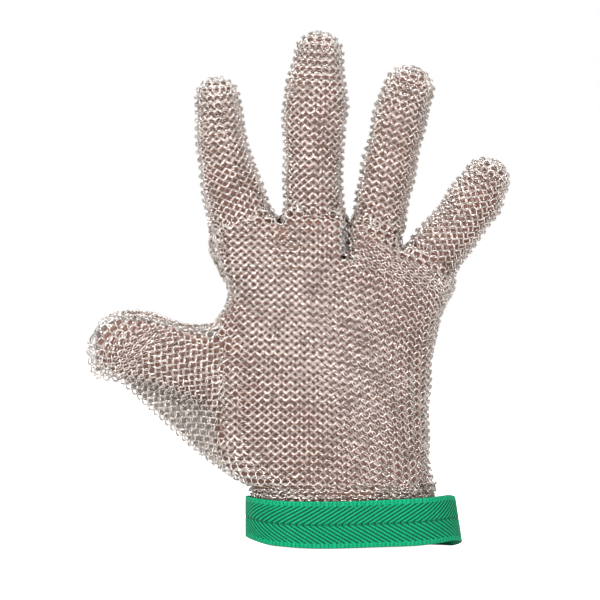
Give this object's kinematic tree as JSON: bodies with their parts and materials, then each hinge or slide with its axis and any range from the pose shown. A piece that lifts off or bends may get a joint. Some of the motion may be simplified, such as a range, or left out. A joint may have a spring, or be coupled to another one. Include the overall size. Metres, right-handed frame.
{
  "type": "cut resistant glove",
  "caption": "Ring-mail cut resistant glove: a five-finger hand of small linked steel rings, closed at the wrist by a woven strap with a press stud.",
  "frame": {"origin": "centre of the wrist opening, level with the strap's lower edge", "axes": "+Z from the wrist to the middle fingertip, +X towards the little finger's side, -Y out of the palm, +Y out of the back of the hand"},
  "size_m": [0.178, 0.0587, 0.217],
  "materials": {
    "ring_mail": "satin stainless steel rings",
    "strap_tape": "woven herringbone tape",
    "thread": "twisted thread",
    "snap_metal": "nickel-plated press stud"
  },
  "bodies": {
    "hand": {"palm_panel": "ring_mail", "back_panel": "ring_mail", "wrist_hem": "ring_mail", "wrist_strap": "strap_tape", "strap_anchor": "strap_tape", "anchor_stitches": "thread", "hem_stitches": "thread", "snap_post": "snap_metal", "snap_stud": "snap_metal"},
    "index_lower": {"index_lower_sleeve": "ring_mail"},
    "index_middle": {"index_middle_sleeve": "ring_mail"},
    "index_end": {"index_tip_sleeve": "ring_mail"},
    "middle_lower": {"middle_lower_sleeve": "ring_mail"},
    "middle_middle": {"middle_middle_sleeve": "ring_mail"},
    "middle_end": {"middle_tip_sleeve": "ring_mail"},
    "ring_lower": {"ring_lower_sleeve": "ring_mail"},
    "ring_middle": {"ring_middle_sleeve": "ring_mail"},
    "ring_end": {"ring_tip_sleeve": "ring_mail"},
    "little_lower": {"little_lower_sleeve": "ring_mail"},
    "little_middle": {"little_middle_sleeve": "ring_mail"},
    "little_end": {"little_tip_sleeve": "ring_mail"},
    "thumb_base": {"thumb_base_sleeve": "ring_mail"},
    "thumb_end": {"thumb_tip_sleeve": "ring_mail"},
    "strap_end": {"strap_tail": "strap_tape", "snap_socket": "snap_metal", "snap_cap": "snap_metal"}
  },
  "joints": [
    {"name": "index_knuckle_bend", "type": "hinge", "parent": "hand", "child": "index_lower", "pos_m": [-0.048, 0, 0.133], "axis": [0.9719, 0, 0.2355], "range_deg": [-8, 45]},
    {"name": "index_middle_bend", "type": "hinge", "parent": "index_lower", "child": "index_middle", "pos_m": [-0.0543, 0, 0.159], "axis": [0.9905, 0, 0.1372], "range_deg": [0, 50]},
    {"name": "index_end_bend", "type": "hinge", "parent": "index_middle", "child": "index_end", "pos_m": [-0.057, 0, 0.1785], "axis": [0.9921, 0, 0.1253], "range_deg": [0, 30]},
    {"name": "middle_knuckle_bend", "type": "hinge", "parent": "hand", "child": "middle_lower", "pos_m": [-0.018, 0, 0.136], "axis": [0.9996, 0, -0.0267], "range_deg": [-8, 45]},
    {"name": "middle_middle_bend", "type": "hinge", "parent": "middle_lower", "child": "middle_middle", "pos_m": [-0.0172, 0, 0.166], "axis": [0.9993, 0, -0.0384], "range_deg": [0, 50]},
    {"name": "middle_end_bend", "type": "hinge", "parent": "middle_middle", "child": "middle_end", "pos_m": [-0.0162, 0, 0.192], "axis": [0.9992, 0, -0.0403], "range_deg": [0, 30]},
    {"name": "ring_knuckle_bend", "type": "hinge", "parent": "hand", "child": "ring_lower", "pos_m": [0.0083, 0, 0.132], "axis": [0.9776, 0, -0.2103], "range_deg": [-8, 45]},
    {"name": "ring_middle_bend", "type": "hinge", "parent": "ring_lower", "child": "ring_middle", "pos_m": [0.014, 0, 0.1585], "axis": [0.9762, 0, -0.2169], "range_deg": [0, 50]},
    {"name": "ring_end_bend", "type": "hinge", "parent": "ring_middle", "child": "ring_end", "pos_m": [0.019, 0, 0.181], "axis": [0.9859, 0, -0.1674], "range_deg": [0, 30]},
    {"name": "little_knuckle_bend", "type": "hinge", "parent": "hand", "child": "little_lower", "pos_m": [0.0305, 0, 0.1185], "axis": [0.7823, 0, -0.6229], "range_deg": [-8, 45]},
    {"name": "little_middle_bend", "type": "hinge", "parent": "little_lower", "child": "little_middle", "pos_m": [0.043, 0, 0.1342], "axis": [0.8698, 0, -0.4933], "range_deg": [0, 50]},
    {"name": "little_end_bend", "type": "hinge", "parent": "little_middle", "child": "little_end", "pos_m": [0.0506, 0, 0.1476], "axis": [0.9076, 0, -0.4198], "range_deg": [0, 30]},
    {"name": "thumb_root_bend", "type": "hinge", "parent": "hand", "child": "thumb_base", "pos_m": [-0.0555, 0, 0.063], "axis": [0, 0, 1], "range_deg": [-5, 35]},
    {"name": "thumb_end_bend", "type": "hinge", "parent": "thumb_base", "child": "thumb_end", "pos_m": [-0.089, 0, 0.0788], "axis": [0.2631, 0, 0.9648], "range_deg": [0, 45]},
    {"name": "strap_end_peel", "type": "hinge", "parent": "hand", "child": "strap_end", "pos_m": [-0.01215, 0.028, 0.01], "axis": [0, 0, 1], "range_deg": [0, 100]}
  ],
  "couplings": [
    {"joint": "index_end_bend", "follows": "index_middle_bend", "ratio": 0.6},
    {"joint": "middle_end_bend", "follows": "middle_middle_bend", "ratio": 0.6},
    {"joint": "ring_end_bend", "follows": "ring_middle_bend", "ratio": 0.6},
    {"joint": "little_end_bend", "follows": "little_middle_bend", "ratio": 0.6}
  ]
}
